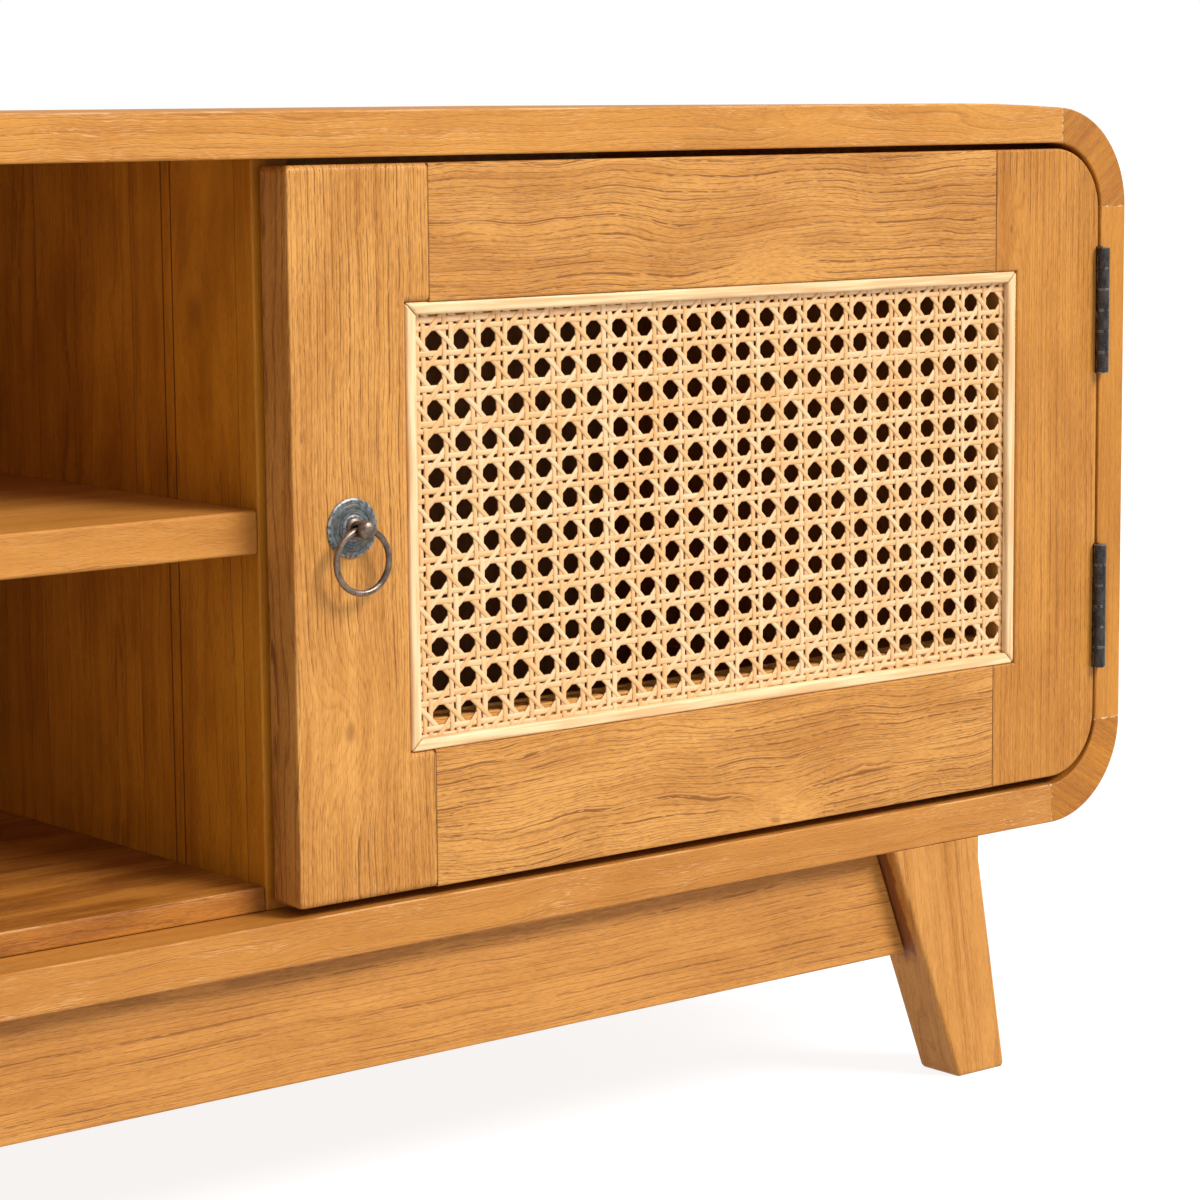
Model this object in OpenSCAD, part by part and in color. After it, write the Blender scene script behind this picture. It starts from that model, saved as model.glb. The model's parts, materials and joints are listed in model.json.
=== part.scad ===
// Low cabinet on splayed legs: an open middle bay with a shelf between two
// cupboards, each closed by a framed door with a woven cane panel.
// X runs along the width, the front faces -Y, Z is up from the floor.

/* [Cabinet] */
// Width of the cabinet over its sides
body_w = 1500; // [1400:10:1700]
// Depth of the cabinet boards, front to back
body_d = 400; // [340:5:450]
// Height of the cabinet without its legs
body_h = 367; // [360:1:420]
// Thickness of the top and bottom boards
board_t = 20; // [18:1:24]
// Thickness of the side boards
side_t = 18; // [16:1:22]
// Outer radius of the rounded corners
corner_r = 50; // [45:1:60]
// Radius inside the rounded corners
inner_r = 34; // [28:1:38]
// Radius of the slow curve that eases the top down into its corners
crown_r = 1300; // [1000:50:2000]
// Thickness of the upright dividers
divider_t = 19; // [16:1:22]
// Thickness of the shelf in the middle bay
shelf_t = 19; // [16:1:22]
// Height of the shelf above the floor of the middle bay
shelf_rise = 146.5; // [100:0.5:200]
// Thickness of the loose floor of the middle bay
floor_t = 11; // [8:1:14]
// Thickness of the plywood back
panel_t = 6; // [4:1:8]
// Diameter of the cable holes in the back
cable_d = 50; // [40:1:60]

/* [Doors] */
// Width of each door
door_w = 497; // [460:1:520]
// Thickness of the door frame
door_t = 22; // [20:1:24]
// Gap between a door and the side that carries it
gap_side = 1.6; // [1.4:0.1:2.0]
// Gap above the door
gap_top = 3; // [2:0.5:5]
// Gap below the door
gap_bottom = 4; // [2:0.5:6]
// Radius of the door's two rounded corners
door_r = 31; // [26:1:33]
// Width of the stiles
stile_w = 74; // [70:1:80]
// Width of stile seen beside the cane on the opening edge
lock_reveal = 61.5; // [56:0.5:66]
// Width of stile seen beside the cane on the hinge edge
hinge_reveal = 58.5; // [54:0.5:66]
// Height of the top rail
rail_top_h = 60; // [50:1:70]
// Height of the bottom rail
rail_bottom_h = 62; // [50:1:70]
// Pitch of the holes in the cane
cane_pitch = 15.05; // [14:0.05:15.1]

/* [Hinges] */
// Length of each butt hinge
hinge_l = 64; // [50:1:76]
// Distance of the upper hinge below the door's top edge
hinge_top = 50; // [40:1:70]
// Distance of the lower hinge above the door's bottom edge
hinge_bottom = 54; // [40:1:70]
// Diameter of the hinge barrel
barrel_d = 6.6; // [6:0.1:7]
// Diameter of the hinge pin
pin_d = 2.8; // [2.4:0.1:3]

/* [Pulls] */
// Diameter of the turned plate behind the ring
plate_d = 26; // [24:1:30]
// Outer diameter of the hanging ring
ring_d = 30.4; // [28:0.2:34]
// Thickness of the ring wire
wire_d = 2.8; // [2.4:0.1:3]
// How far the post stands out of the door
pull_reach = 14; // [13:0.5:16]

/* [Base] */
// Height of the legs
leg_h = 123; // [100:1:180]
// Depth of a leg, front to back
leg_d = 28; // [24:1:36]
// Width of a leg at its top
leg_top_w = 60; // [50:1:70]
// Width of a leg at its foot
leg_foot_w = 33; // [26:1:40]
// Height of the rails between the legs
apron_h = 56; // [40:1:70]
// Thickness of the rails between the legs
apron_t = 18; // [16:1:22]

/* [Hidden] */
$fn = 64;
teak = "#cf8f4e";
teak_dark = "#b87a3d";
rattan = "#efd7a6";
black_steel = "#33302f";
bronze = "#6d5645";
patina = "#71787c";
zinc = "#b9bcc0";

// planes of the cabinet
front = (pull_reach - body_d) / 2;
back = front + body_d;
edge_x = body_w / 2;
base_z = leg_h;
top_z = leg_h + body_h;
floor_z = base_z + board_t;
ceiling_z = top_z - board_t;
hollow_x = edge_x - side_t;
over = 1;

// the slow curve of the top meets each corner arc on the joint of the corner block
crown_run = 130;
crown_lift = 0.05;
crown_x = edge_x - crown_run;
crown_z = top_z + crown_lift - crown_r;
corner_z = crown_z + sqrt(pow(crown_r - corner_r, 2) - pow(crown_run - corner_r, 2));
joint_x = crown_x + crown_r * (crown_run - corner_r) / (crown_r - corner_r);
block_grip = 4;

// the doors close over the front edges of the dividers, which stand just past them
behind_door = 2.5;
divider_lead = 1.5;
set_back = door_t + behind_door;
door_x1 = hollow_x - gap_side;
door_x0 = door_x1 - door_w;
door_z0 = floor_z + gap_bottom;
door_z1 = ceiling_z - gap_top;
bay_x = door_x0 - divider_lead;
bay_floor_z = floor_z + floor_t;
shelf_z = bay_floor_z + shelf_rise;

// the back lies in a rebate
rebate_w = 9;
rebate_d = panel_t + 0.5;
panel_y = back - rebate_d;
cable_z = [(bay_floor_z + shelf_z) / 2, (shelf_z + shelf_t + ceiling_z) / 2];
nail_head_d = 5;
nail_head_t = 0.9;
nail_d = 1.8;
nail_l = 22;

// the cane lies in a rebate cut round the front of the door's opening, on a lip that is higher below
open_x0 = door_x0 + lock_reveal;
open_x1 = door_x1 - hinge_reveal;
open_z0 = door_z0 + rail_bottom_h;
open_z1 = door_z1 - rail_top_h;
lip = 8;
sill = 13;
cane_back = 5;
cane_t = 1.4;
cane_cols = 24;
cane_rows = 12;
cane_hole_d = 8;
cane_first = [17.3, 17.8];
cane_tilt = 0.5;
bead_w = 5.5;
bead_t = 3.3;
fit = 0.1;

// stub tenons on the rails and aprons
tenon_l = 25;
tenon_t = 8;
tenon_in = 10;
tenon_y = 10;
apron_tenon_l = 12;

// butt hinges, with three knuckles on each leaf
knuckles = 6;
knuckle_gap = 0.3;
leaf_t = 1.5;
leaf_d = 18;
pin_out = 2.6;
pin_play = 0.05;
barrel_play = 0.35;
pin_x = hollow_x - gap_side / 2;
pin_y = front - pin_out;
leaf_lead = 0.4;
hinge_z = [door_z1 - hinge_top - hinge_l, door_z0 + hinge_bottom];
pitch_z = hinge_l / knuckles;
screw_head_d = 6;
screw_d = 2.8;
screw_l = 14;
leaf_screw_y = front + 10;
leaf_screw_z = [9, 32, 55];

// ring pulls
pull_x = door_x0 + 30.3;
pull_z = (door_z0 + door_z1) / 2 + 4.4;
plate_t = 2.6;
eye_out = 8;
eye_d = 4.6;
neck_d = 7.2;
head_d = 8.4;
stud_d = 4;
stud_play = 0.05;
nut_af = 7;
nut_t = 3;
ring_mean_r = (ring_d - wire_d) / 2;

// magnetic catches
catch_z = door_z1 - 52;
catch_size = [12, 18, 40];
strike_t = 1;
catch_gap = 0.3;

// legs, measured from the outer side
leg_in = 102;
leg_splay = 19;
leg_block_h = 11.5;
foot_ease = 1.5;
apron_in = 12;
apron_slack = 1.2;
stretcher_in = 118;
leg_x1 = edge_x - leg_in;
leg_x0 = leg_x1 - leg_top_w;
foot_x1 = leg_x1 + leg_splay;
foot_x0 = foot_x1 - leg_foot_w;
base_screw_d = 4.4;
base_screw_head_d = 9;
base_screw_play = 0.4;
base_screw_l = 60;
base_screw_x = [leg_x0 + 28, leg_x0 + 46];

// ---- shared shapes; every paired piece is drawn for the right-hand side ----

module on_side(side) {
    if (side == "left") mirror([1, 0, 0]) children();
    else children();
}

module slab(x0, x1, y0, y1, z0, z1) {
    translate([x0, y0, z0]) cube([x1 - x0, y1 - y0, z1 - z0]);
}

// a flat shape drawn in x and z, given its thickness from y0 to y1
module along_y(y0, y1) {
    translate([0, y1, 0]) rotate([90, 0, 0]) linear_extrude(y1 - y0) children();
}

// a rod along y
module rod_y(x, z, r, y0, y1) {
    translate([x, y1, z]) rotate([90, 0, 0]) cylinder(r = r, h = y1 - y0);
}

// a rectangle with its right-hand corners rounded, and its left-hand ones where both is true
module round_plate(x0, x1, z0, z1, r, both = true) {
    left = both ? x0 + r : x0;
    translate([left, z0]) square([x1 - r - left, z1 - z0]);
    translate([x0, z0 + r]) square([x1 - x0, z1 - z0 - 2 * r]);
    for (z = [z0 + r, z1 - r]) {
        translate([x1 - r, z]) circle(r);
        if (both) translate([x0 + r, z]) circle(r);
    }
}

// ---- cabinet ----

// the hollow of the cabinet, and the rebate for its back
module hollow() {
    along_y(front - over, back + over) round_plate(-hollow_x, hollow_x, floor_z, ceiling_z, inner_r);
    along_y(panel_y, back + over)
        round_plate(-hollow_x - rebate_w, hollow_x + rebate_w,
                    floor_z - rebate_w, ceiling_z + rebate_w, inner_r + rebate_w);
}

// what the slow curve takes off one end of the top
module crown_waste() {
    lead = crown_run - 5;
    difference() {
        slab(edge_x - lead, edge_x, front - over, back + over, top_z - board_t / 2, top_z + over);
        rod_y(crown_x, crown_z, crown_r, front - 2 * over, back + 2 * over);
    }
}

module top_board() {
    color(teak) difference() {
        slab(-joint_x, joint_x, front, back, ceiling_z - block_grip, top_z);
        hollow();
        for (side = ["left", "right"]) on_side(side) crown_waste();
    }
}

module bottom_board() {
    color(teak) difference() {
        slab(-edge_x + corner_r, edge_x - corner_r, front, back, base_z, floor_z + block_grip);
        hollow();
        base_screw_places() {
            cylinder(d = base_screw_d, h = 3 * board_t, center = true);
            translate([0, 0, -base_screw_head_d / 4])
                cylinder(d1 = base_screw_d, d2 = base_screw_head_d, h = base_screw_head_d / 4);
        }
    }
}

module side_board(side) {
    color(teak) on_side(side) difference() {
        slab(hollow_x - block_grip, edge_x, front, back, base_z + corner_r, corner_z);
        hollow();
        for (z = hinge_z) leaf_housing(z, 0);
    }
}

module corner_top(side) {
    color(teak) on_side(side) difference() {
        intersection() {
            slab(joint_x, edge_x + over, front, back, corner_z, top_z + over);
            rod_y(edge_x - corner_r, corner_z, corner_r, front - over, back + over);
        }
        hollow();
    }
}

module corner_bottom(side) {
    color(teak) on_side(side) difference() {
        intersection() {
            slab(edge_x - corner_r, edge_x + over, front, back, base_z - over, base_z + corner_r);
            rod_y(edge_x - corner_r, base_z + corner_r, corner_r, front - over, back + over);
        }
        hollow();
    }
}

module divider(side) {
    color(teak) on_side(side)
        slab(bay_x, bay_x + divider_t, front + set_back, panel_y, floor_z, ceiling_z);
}

module bay_floor() {
    color(teak) slab(-bay_x, bay_x, front + set_back, panel_y, floor_z, bay_floor_z);
}

module shelf() {
    color(teak) slab(-bay_x, bay_x, front + set_back, panel_y, shelf_z, shelf_z + shelf_t);
}

module back_panel() {
    color(teak_dark) difference() {
        along_y(panel_y, panel_y + panel_t)
            round_plate(-hollow_x - rebate_w + fit, hollow_x + rebate_w - fit,
                        floor_z - rebate_w + fit, ceiling_z + rebate_w - fit, inner_r + rebate_w - fit);
        for (z = cable_z) rod_y(0, z, cable_d / 2, panel_y - over, back + over);
    }
}

module back_nail(x, z) {
    rod_y(x, z, nail_head_d / 2, back - nail_head_t - fit, back - fit);
    rod_y(x, z, nail_d / 2, back - nail_l, back - nail_head_t);
}

module back_nails() {
    rows = [floor_z - rebate_w / 2, ceiling_z + rebate_w / 2];
    reach = hollow_x - inner_r - 20;
    along = 9;
    color(zinc) {
        for (i = [0 : along], z = rows) back_nail(reach * (2 * i / along - 1), z);
        for (x = [-1, 1], z = [0.3, 0.7]) {
            back_nail(x * (hollow_x + rebate_w / 2), floor_z + z * (ceiling_z - floor_z));
            back_nail(x * (bay_x + divider_t / 2), floor_z + z * (ceiling_z - floor_z));
        }
    }
}

// ---- base ----

// inner edge of a leg at height z
function leg_inner_x(z) = foot_x0 + (leg_x0 - foot_x0) * z / leg_h;

module apron_tenon(grow) {
    z0 = leg_h - apron_h + tenon_in;
    z1 = leg_h - tenon_in;
    along_y(front + apron_in + tenon_in / 2 - grow, front + apron_in + tenon_in / 2 + tenon_t + grow)
        polygon([
            [leg_inner_x(z0) - 3, z0 - grow], [leg_inner_x(z0) + apron_tenon_l + grow, z0 - grow],
            [leg_inner_x(z1) + apron_tenon_l + grow, z1 + grow], [leg_inner_x(z1) - 3, z1 + grow]
        ]);
}

// the right-hand front leg; the others are its mirror images
module leg_right() {
    difference() {
        along_y(front, front + leg_d) polygon([
            [leg_x0, leg_h], [leg_x1, leg_h], [leg_x1, leg_h - leg_block_h],
            [foot_x1, foot_ease], [foot_x1 - foot_ease, 0],
            [foot_x0 + foot_ease, 0], [foot_x0, foot_ease]
        ]);
        apron_tenon(fit);
    }
}

module at_row(row) {
    if (row == "back") translate([0, front + back, 0]) mirror([0, 1, 0]) children();
    else children();
}

module leg(row, side) {
    color(teak) at_row(row) on_side(side) leg_right();
}

module apron(row) {
    z0 = leg_h - apron_h;
    x0 = leg_inner_x(z0) - apron_slack;
    x1 = leg_inner_x(leg_h) - apron_slack;
    color(teak) at_row(row) {
        along_y(front + apron_in, front + apron_in + apron_t)
            polygon([[-x0, z0], [x0, z0], [x1, leg_h], [-x1, leg_h]]);
        for (side = ["left", "right"]) on_side(side) apron_tenon(0);
    }
}

module stretcher(side) {
    x1 = edge_x - stretcher_in;
    color(teak) on_side(side)
        slab(x1 - apron_t, x1, front + leg_d, back - leg_d, leg_h - apron_h, leg_h);
}

module base_screw_places() {
    for (side = [-1, 1], x = base_screw_x, y = [front + leg_d / 2, back - leg_d / 2])
        translate([side * x, y, floor_z]) children();
}

module base_screws() {
    color(zinc) base_screw_places() {
        translate([0, 0, -base_screw_head_d / 4 - fit])
            cylinder(d1 = base_screw_d - base_screw_play, d2 = base_screw_head_d - base_screw_play,
                     h = base_screw_head_d / 4);
        translate([0, 0, -base_screw_l]) cylinder(d = base_screw_d - base_screw_play, h = base_screw_l - 1);
    }
}

// ---- hinges ----

// a rod on the pin axis of the hinge that stands at height z
module on_pin(d, z0, z1) {
    translate([pin_x, pin_y, z0]) cylinder(d = d, h = z1 - z0);
}

// three of the six knuckles, counted from the top: first is 0 for the cabinet's leaf, 1 for the door's
module knuckle_set(z, first, d, gap) {
    for (i = [first : 2 : knuckles - 1])
        on_pin(d, z + hinge_l - (i + 1) * pitch_z + gap, z + hinge_l - i * pitch_z - gap);
}

// countersunk screws along the leaf, whose heads face the gap; dir is 1 into the cabinet side, -1 into the door
module leaf_screw_places(z, x, dir) {
    for (dz = leaf_screw_z)
        translate([x, leaf_screw_y, z + dz * hinge_l / 64]) rotate([0, 90 * dir, 0]) children();
}

module leaf(z, first) {
    dir = first == 0 ? 1 : -1;
    x = first == 0 ? hollow_x : door_x1;
    difference() {
        union() {
            slab(min(x, x + dir * leaf_t), max(x, x + dir * leaf_t),
                 pin_y + leaf_lead, front + leaf_d, z, z + hinge_l);
            knuckle_set(z, first, barrel_d, knuckle_gap / 2);
        }
        knuckle_set(z, 1 - first, barrel_d + 2 * barrel_play, -knuckle_gap / 2);
        on_pin(pin_d + 2 * pin_play, z - over, z + hinge_l + over);
        leaf_screw_places(z, x, dir) cylinder(d1 = screw_head_d + fit, d2 = screw_d + 2 * fit, h = leaf_t);
    }
}

// the shallow housing of a leaf and the room for the barrel
module leaf_housing(z, first) {
    dir = first == 0 ? 1 : -1;
    x = first == 0 ? hollow_x : door_x1;
    slab(min(x - dir * over, x + dir * leaf_t), max(x - dir * over, x + dir * leaf_t),
         front - over, front + leaf_d, z, z + hinge_l);
    on_pin(barrel_d + 2 * barrel_play, z - knuckle_gap, z + hinge_l + knuckle_gap);
}

module leaf_screw() {
    difference() {
        union() {
            cylinder(d1 = screw_head_d, d2 = screw_d, h = leaf_t);
            cylinder(d = screw_d, h = screw_l);
        }
        for (a = [0, 90]) rotate([0, 0, a]) cube([0.7, 3.2, 1.2], center = true);
    }
}

module frame_leaf(level, side) {
    color(black_steel) on_side(side) leaf(hinge_z[level], 0);
}

module door_leaf(level, side) {
    color(black_steel) on_side(side) leaf(hinge_z[level], 1);
}

module hinge_pins(side) {
    color(black_steel) on_side(side) for (z = hinge_z) on_pin(pin_d, z, z + hinge_l);
}

module frame_leaf_screws() {
    color(black_steel) for (side = ["left", "right"]) on_side(side)
        for (z = hinge_z) leaf_screw_places(z, hollow_x, 1) leaf_screw();
}

module door_leaf_screws(side) {
    color(black_steel) on_side(side)
        for (z = hinge_z) leaf_screw_places(z, door_x1, -1) leaf_screw();
}

// ---- doors ----

// the opening for the cane: a rebate at the front and a smaller way through
module cane_opening() {
    slab(open_x0, open_x1, front - over, front + cane_back, open_z0, open_z1);
    slab(open_x0 + lip, open_x1 - lip, front, front + door_t + over, open_z0 + sill, open_z1 - lip);
}

module rail_tenon(z0, z1, grow) {
    for (end = [[door_x0 + stile_w, -1], [door_x1 - stile_w, 1]]) {
        x = end[0];
        dir = end[1];
        slab(min(x - dir, x + dir * (tenon_l + grow)), max(x - dir, x + dir * (tenon_l + grow)),
             front + tenon_y - grow, front + tenon_y + tenon_t + grow,
             z0 + tenon_in - grow, z1 - tenon_in + grow);
    }
}

module rail_tenons(grow) {
    rail_tenon(door_z0, open_z0 + sill, grow);
    rail_tenon(open_z1 - lip, door_z1, grow);
}

module hinge_stile(side) {
    color(teak) on_side(side) difference() {
        along_y(front, front + door_t)
            round_plate(door_x1 - stile_w, door_x1, door_z0, door_z1, door_r, both = false);
        cane_opening();
        rail_tenons(fit);
        for (z = hinge_z) leaf_housing(z, 1);
    }
}

module lock_stile(side) {
    color(teak) on_side(side) difference() {
        slab(door_x0, door_x0 + stile_w, front, front + door_t, door_z0, door_z1);
        cane_opening();
        rail_tenons(fit);
        rod_y(pull_x, pull_z, stud_d / 2 + stud_play, front - over, front + door_t + over);
    }
}

module rail(z0, z1) {
    difference() {
        union() {
            slab(door_x0 + stile_w, door_x1 - stile_w, front, front + door_t, z0, z1);
            rail_tenon(z0, z1, 0);
        }
        cane_opening();
    }
}

module rail_top(side) {
    color(teak) on_side(side) rail(open_z1 - lip, door_z1);
}

module rail_bottom(side) {
    color(teak) on_side(side) rail(door_z0, open_z0 + sill);
}

module cane(side) {
    color(rattan) on_side(side)
        along_y(front + cane_back - cane_t, front + cane_back) difference() {
            translate([open_x0 + fit, open_z0 + fit])
                square([open_x1 - open_x0 - 2 * fit, open_z1 - open_z0 - 2 * fit]);
            translate([open_x0 + cane_first[0], open_z1 - cane_first[1]]) rotate(cane_tilt)
                for (i = [0 : cane_cols - 1], j = [0 : cane_rows - 1])
                    translate([i * cane_pitch, -j * cane_pitch])
                        rotate(22.5) circle(d = cane_hole_d, $fn = 8);
        }
}

// four mitred strips of split rattan that pin the cane down
module bead(side) {
    y0 = front + cane_back - cane_t - bead_t;
    x = [open_x0 + fit, open_x1 - fit];
    z = [open_z0 + fit, open_z1 - fit];
    w = bead_w;
    color(rattan) on_side(side) along_y(y0, y0 + bead_t) {
        polygon([[x[0], z[0]], [x[1], z[0]], [x[1] - w, z[0] + w], [x[0] + w, z[0] + w]]);
        polygon([[x[0], z[1]], [x[0] + w, z[1] - w], [x[1] - w, z[1] - w], [x[1], z[1]]]);
        polygon([[x[0], z[0] + fit], [x[0] + w, z[0] + w + fit], [x[0] + w, z[1] - w - fit], [x[0], z[1] - fit]]);
        polygon([[x[1], z[0] + fit], [x[1], z[1] - fit], [x[1] - w, z[1] - w - fit], [x[1] - w, z[0] + w + fit]]);
    }
}

// ---- ring pulls: drawn with z out of the door and y up, about the post's axis ----

module at_pull() {
    translate([pull_x, front, pull_z]) rotate([90, 0, 0]) children();
}

module pull_plate(side) {
    r = plate_d / 2;
    hole = stud_d / 2 + stud_play;
    color(patina) on_side(side) at_pull() rotate_extrude() polygon([
        [hole, 0], [r, 0], [r, 0.8], [r - 0.8, 1.2], [r - 2.6, 1.2], [r - 3, 1.6], [r - 4, 1.6],
        [r - 4.4, 1.3], [r - 5.4, 1.3], [r - 5.8, 2], [r - 7, 2], [r - 7.8, plate_t], [hole, plate_t]
    ]);
}

module pull_post(side) {
    neck = neck_d / 2;
    head = head_d / 2;
    tip = pull_reach;
    color(bronze) on_side(side) at_pull() difference() {
        rotate_extrude() polygon([
            [0, -door_t - nut_t - 1], [stud_d / 2, -door_t - nut_t - 1], [stud_d / 2, plate_t],
            [neck + 1.4, plate_t], [neck + 1, plate_t + 0.8], [neck, plate_t + 1.6],
            [neck, eye_out + 1.2], [head, eye_out + 2], [head, eye_out + 3.4],
            for (a = [15 : 15 : 75]) [1.2 + (head - 1.2) * cos(a), eye_out + 3.4 + (tip - eye_out - 3.4) * sin(a)],
            [1.2, tip], [0, tip]
        ]);
        translate([0, 0, eye_out]) rotate([0, 90, 0]) cylinder(d = eye_d, h = 2 * head_d, center = true);
    }
}

module pull_nut(side) {
    color(zinc) on_side(side) at_pull() translate([0, 0, -door_t - nut_t]) difference() {
        cylinder(d = nut_af / cos(30), h = nut_t, $fn = 6);
        translate([0, 0, -over]) cylinder(d = stud_d + 2 * stud_play, h = nut_t + 2 * over);
    }
}

module pull_ring(side) {
    color(bronze) on_side(side) at_pull() translate([0, -ring_mean_r, eye_out])
        rotate_extrude() translate([ring_mean_r, 0]) circle(d = wire_d);
}

// ---- catches ----

module catch(side) {
    x0 = bay_x + divider_t;
    y0 = front + door_t + strike_t + catch_gap;
    color("dimgray") on_side(side)
        slab(x0, x0 + catch_size[0], y0, y0 + catch_size[1],
             catch_z - catch_size[2] / 2, catch_z + catch_size[2] / 2);
}

module strike(side) {
    x0 = bay_x + divider_t;
    color(zinc) on_side(side)
        slab(x0, x0 + catch_size[0], front + door_t, front + door_t + strike_t,
             catch_z - catch_size[2] / 2, catch_z + catch_size[2] / 2);
}

top_board();
bottom_board();
side_board("left");  // side_left
side_board("right");  // side_right
corner_top("left");  // corner_top_left
corner_top("right");  // corner_top_right
corner_bottom("left");  // corner_bottom_left
corner_bottom("right");  // corner_bottom_right
divider("left");  // divider_left
divider("right");  // divider_right
bay_floor();
shelf();
back_panel();
back_nails();
leg("front", "left");  // leg_front_left
leg("front", "right");  // leg_front_right
leg("back", "left");  // leg_back_left
leg("back", "right");  // leg_back_right
apron("front");  // apron_front
apron("back");  // apron_back
stretcher("left");  // stretcher_left
stretcher("right");  // stretcher_right
base_screws();
frame_leaf(0, "left");  // frame_leaf_upper_left
frame_leaf(0, "right");  // frame_leaf_upper_right
frame_leaf(1, "left");  // frame_leaf_lower_left
frame_leaf(1, "right");  // frame_leaf_lower_right
hinge_pins("left");  // hinge_pins_left
hinge_pins("right");  // hinge_pins_right
frame_leaf_screws();
catch("left");  // catch_left
catch("right");  // catch_right
hinge_stile("left");  // hinge_stile_left
hinge_stile("right");  // hinge_stile_right
lock_stile("left");  // lock_stile_left
lock_stile("right");  // lock_stile_right
rail_top("left");  // rail_top_left
rail_top("right");  // rail_top_right
rail_bottom("left");  // rail_bottom_left
rail_bottom("right");  // rail_bottom_right
cane("left");  // cane_left
cane("right");  // cane_right
bead("left");  // bead_left
bead("right");  // bead_right
door_leaf(0, "left");  // door_leaf_upper_left
door_leaf(0, "right");  // door_leaf_upper_right
door_leaf(1, "left");  // door_leaf_lower_left
door_leaf(1, "right");  // door_leaf_lower_right
door_leaf_screws("left");  // door_leaf_screws_left
door_leaf_screws("right");  // door_leaf_screws_right
strike("left");  // strike_left
strike("right");  // strike_right
pull_plate("left");  // pull_plate_left
pull_plate("right");  // pull_plate_right
pull_post("left");  // pull_post_left
pull_post("right");  // pull_post_right
pull_nut("left");  // pull_nut_left
pull_nut("right");  // pull_nut_right
pull_ring("left");  // pull_ring_left
pull_ring("right");  // pull_ring_right
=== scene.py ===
import json
import math
import random

import bmesh
import bpy
import numpy as np
from mathutils import Euler, Matrix, Vector

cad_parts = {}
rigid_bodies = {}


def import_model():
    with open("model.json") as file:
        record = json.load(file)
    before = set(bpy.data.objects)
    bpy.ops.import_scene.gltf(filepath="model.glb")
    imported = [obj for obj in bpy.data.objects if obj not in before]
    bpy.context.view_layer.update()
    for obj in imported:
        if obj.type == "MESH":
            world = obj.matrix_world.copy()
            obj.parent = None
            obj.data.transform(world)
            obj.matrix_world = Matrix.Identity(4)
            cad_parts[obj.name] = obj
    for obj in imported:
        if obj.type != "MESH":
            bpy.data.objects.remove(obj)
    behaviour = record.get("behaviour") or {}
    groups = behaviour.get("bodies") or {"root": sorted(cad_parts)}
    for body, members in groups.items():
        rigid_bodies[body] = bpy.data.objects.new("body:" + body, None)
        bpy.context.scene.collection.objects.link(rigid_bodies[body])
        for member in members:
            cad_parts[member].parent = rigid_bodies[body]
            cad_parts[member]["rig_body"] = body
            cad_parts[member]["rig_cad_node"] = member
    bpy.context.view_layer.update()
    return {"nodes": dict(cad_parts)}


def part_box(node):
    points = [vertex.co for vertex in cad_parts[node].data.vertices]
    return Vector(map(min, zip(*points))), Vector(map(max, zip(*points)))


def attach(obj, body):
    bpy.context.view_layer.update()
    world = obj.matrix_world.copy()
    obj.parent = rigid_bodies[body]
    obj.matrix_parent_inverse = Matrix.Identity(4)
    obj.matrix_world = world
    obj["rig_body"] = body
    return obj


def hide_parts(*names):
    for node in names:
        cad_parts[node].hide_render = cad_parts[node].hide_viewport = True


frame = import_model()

# ---- Camera ----
# It stands to the left of the stand, level with its top board, and looks along the front
# towards the right-hand door and leg.
bpy.ops.object.camera_add(location=(-0.6221, -1.4490, 0.4949))
camera = bpy.context.object
camera.rotation_euler = [math.radians(angle) for angle in (81.992, 0.451, -39.243)]
camera.data.sensor_width = 36
camera.data.lens = 107.45
bpy.context.scene.camera = camera

# ---- Carcass ----
# A low case of solid teak boards: top, bottom and sides meet in solid rounded corner blocks,
# glued edge to edge. Its arrises are sanded soft, and it has a thin satin oil on open pores.
MM = 0.001
GRAIN_X = (0, 0, 0)
GRAIN_Y = (0, 0, math.radians(-90))
GRAIN_Z = (0, math.radians(90), 0)
honey = (0.64, 0.294, 0.063, 1)
amber = (0.42, 0.154, 0.018, 1)
pore_brown = (0.17, 0.046, 0.005, 1)
pore_chalk = (0.82, 0.50, 0.24, 1)
glue_pale = (0.88, 0.66, 0.40, 1)
# darker brown for the corner where a front leg meets the apron
corner_brown = (0.20, 0.048, 0.010, 1)
# pale colour of the painted highlight along top front arrises
highlight_pale = (0.86, 0.58, 0.30, 1)
joint_dark = (0.10, 0.026, 0.003, 1)
seam_dark = (0.13, 0.035, 0.004, 1)
nowhere = (0, 0, -9)
low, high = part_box("top_board")
front, top, joint_x = low.y, high.z, high.x


def feed(tree, node, inputs):
    """Links or sets a node's inputs, given by name or number."""
    for place, value in dict(inputs).items():
        if isinstance(value, bpy.types.NodeSocket):
            tree.links.new(value, node.inputs[place])
        else:
            node.inputs[place].default_value = value


def wire(tree, kind, inputs=(), **settings):
    """Adds a shader node with its settings, and feeds its inputs."""
    node = tree.nodes.new(kind)
    for name, value in settings.items():
        setattr(node, name, value)
    feed(tree, node, inputs)
    return node


def reckon(tree, operation, *values):
    return wire(tree, "ShaderNodeMath", enumerate(values), operation=operation).outputs[0]


def reckon_vector(tree, operation, *values):
    node = wire(tree, "ShaderNodeVectorMath", enumerate(values), operation=operation)
    return node.outputs["Value" if operation in ("LENGTH", "DOT_PRODUCT") else "Vector"]


def scaled(tree, vector, scale):
    return wire(tree, "ShaderNodeVectorMath", {0: vector, "Scale": scale}, operation="SCALE").outputs[0]


def part_of(tree, vector, axis):
    """One part of a vector: axis is 0, 1 or 2, or its letter."""
    return wire(tree, "ShaderNodeSeparateXYZ", {0: vector}).outputs[axis]


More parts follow.
